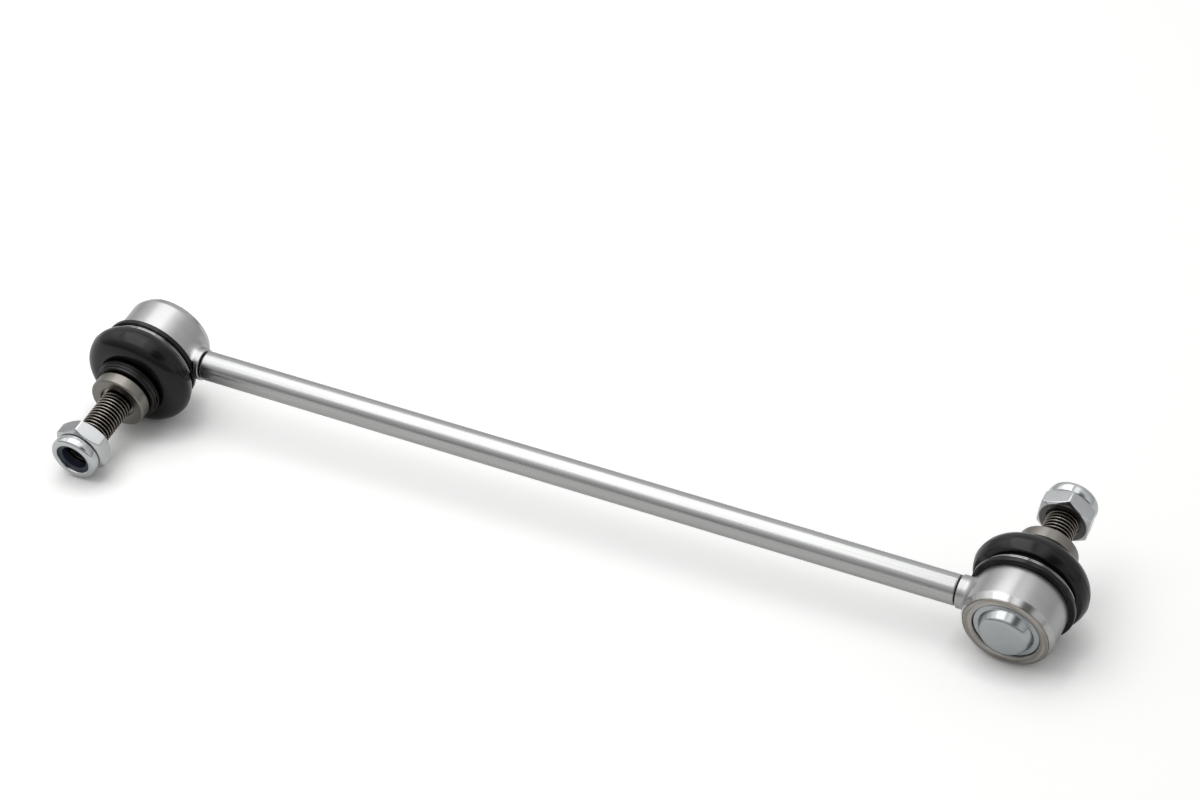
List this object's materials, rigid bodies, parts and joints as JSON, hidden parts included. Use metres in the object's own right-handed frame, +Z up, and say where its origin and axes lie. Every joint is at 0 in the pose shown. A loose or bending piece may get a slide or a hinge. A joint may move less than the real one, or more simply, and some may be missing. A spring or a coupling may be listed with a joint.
{
  "type": "stabilizer link",
  "caption": "Straight rod with a booted ball joint at each end, whose threaded studs point opposite ways and carry lock nuts.",
  "frame": {"origin": "midpoint of the rod's axis, halfway between the two ball centres, which is the centroid", "axes": "+X along the rod from end A to end B, +Z up as the link lies on a floor. Stud A points along -Y and stud B along +Y, both turned 13.4 degrees about X, so stud A dips and stud B rises."},
  "size_m": [0.393, 0.1181, 0.0482],
  "materials": {
    "rod_steel": "satin drawn steel",
    "housing_steel": "satin turned steel",
    "zinc_cap": "zinc plate",
    "seat_plastic": "moulded acetal",
    "boot_rubber": "satin black",
    "spring_wire": "drawn spring wire",
    "stud_steel": "phosphated steel",
    "zinc_nut": "bright zinc plate",
    "nylon": "dark blue nylon"
  },
  "bodies": {
    "link": {"link_rod": "rod_steel", "housing_a": "housing_steel", "ball_seat_a": "seat_plastic", "closing_cap_a": "zinc_cap", "lower_boot_clip_a": "spring_wire", "housing_b": "housing_steel", "ball_seat_b": "seat_plastic", "closing_cap_b": "zinc_cap", "lower_boot_clip_b": "spring_wire"},
    "boot_fold_a": {"boot_a": "boot_rubber"},
    "boot_ring_a": {"upper_boot_clip_a": "spring_wire"},
    "stud_a": {"ball_stud_a": "stud_steel", "stud_collar_a": "stud_steel"},
    "insert_a": {"nylon_insert_a": "nylon"},
    "nut_a": {"lock_nut_a": "zinc_nut"},
    "boot_fold_b": {"boot_b": "boot_rubber"},
    "boot_ring_b": {"upper_boot_clip_b": "spring_wire"},
    "stud_b": {"ball_stud_b": "stud_steel", "stud_collar_b": "stud_steel"},
    "insert_b": {"nylon_insert_b": "nylon"},
    "nut_b": {"lock_nut_b": "zinc_nut"}
  },
  "joints": [
    {"name": "swing_about_rod_a", "type": "hinge", "parent": "link", "child": "boot_fold_a", "pos_m": [-0.175, 0, 0], "axis": [1, 0, 0], "range_deg": [-18, 18], "deforming": ["boot_a"]},
    {"name": "swing_along_rod_a", "type": "hinge", "parent": "boot_fold_a", "child": "boot_ring_a", "pos_m": [-0.175, 0, 0], "axis": [0, -0.2317, 0.9728], "range_deg": [-18, 18], "deforming": ["boot_a"]},
    {"name": "stud_spin_a", "type": "hinge", "parent": "boot_ring_a", "child": "stud_a", "pos_m": [-0.175, 0, 0], "axis": [0, -0.9728, -0.2317], "continuous": true},
    {"name": "nut_run_a", "type": "slide", "parent": "stud_a", "child": "insert_a", "axis": [0, -0.9728, -0.2317], "range_m": [-0.0195, 0.004]},
    {"name": "nut_turn_a", "type": "hinge", "parent": "insert_a", "child": "nut_a", "pos_m": [-0.175, 0, 0], "axis": [0, -0.9728, -0.2317], "range_deg": [-4680.1, 960]},
    {"name": "swing_about_rod_b", "type": "hinge", "parent": "link", "child": "boot_fold_b", "pos_m": [0.175, 0, 0], "axis": [1, 0, 0], "range_deg": [-18, 18], "deforming": ["boot_b"]},
    {"name": "swing_along_rod_b", "type": "hinge", "parent": "boot_fold_b", "child": "boot_ring_b", "pos_m": [0.175, 0, 0], "axis": [0, -0.2317, 0.9728], "range_deg": [-18, 18], "deforming": ["boot_b"]},
    {"name": "stud_spin_b", "type": "hinge", "parent": "boot_ring_b", "child": "stud_b", "pos_m": [0.175, 0, 0], "axis": [0, 0.9728, 0.2317], "continuous": true},
    {"name": "nut_run_b", "type": "slide", "parent": "stud_b", "child": "insert_b", "axis": [0, 0.9728, 0.2317], "range_m": [-0.0125, 0.011]},
    {"name": "nut_turn_b", "type": "hinge", "parent": "insert_b", "child": "nut_b", "pos_m": [0.175, 0, 0], "axis": [0, 0.9728, 0.2317], "range_deg": [-3000.1, 2640.1]}
  ],
  "couplings": [
    {"joint": "nut_turn_a", "follows": "nut_run_a", "rad_per_m": 4188.8},
    {"joint": "nut_turn_b", "follows": "nut_run_b", "rad_per_m": 4188.8}
  ]
}
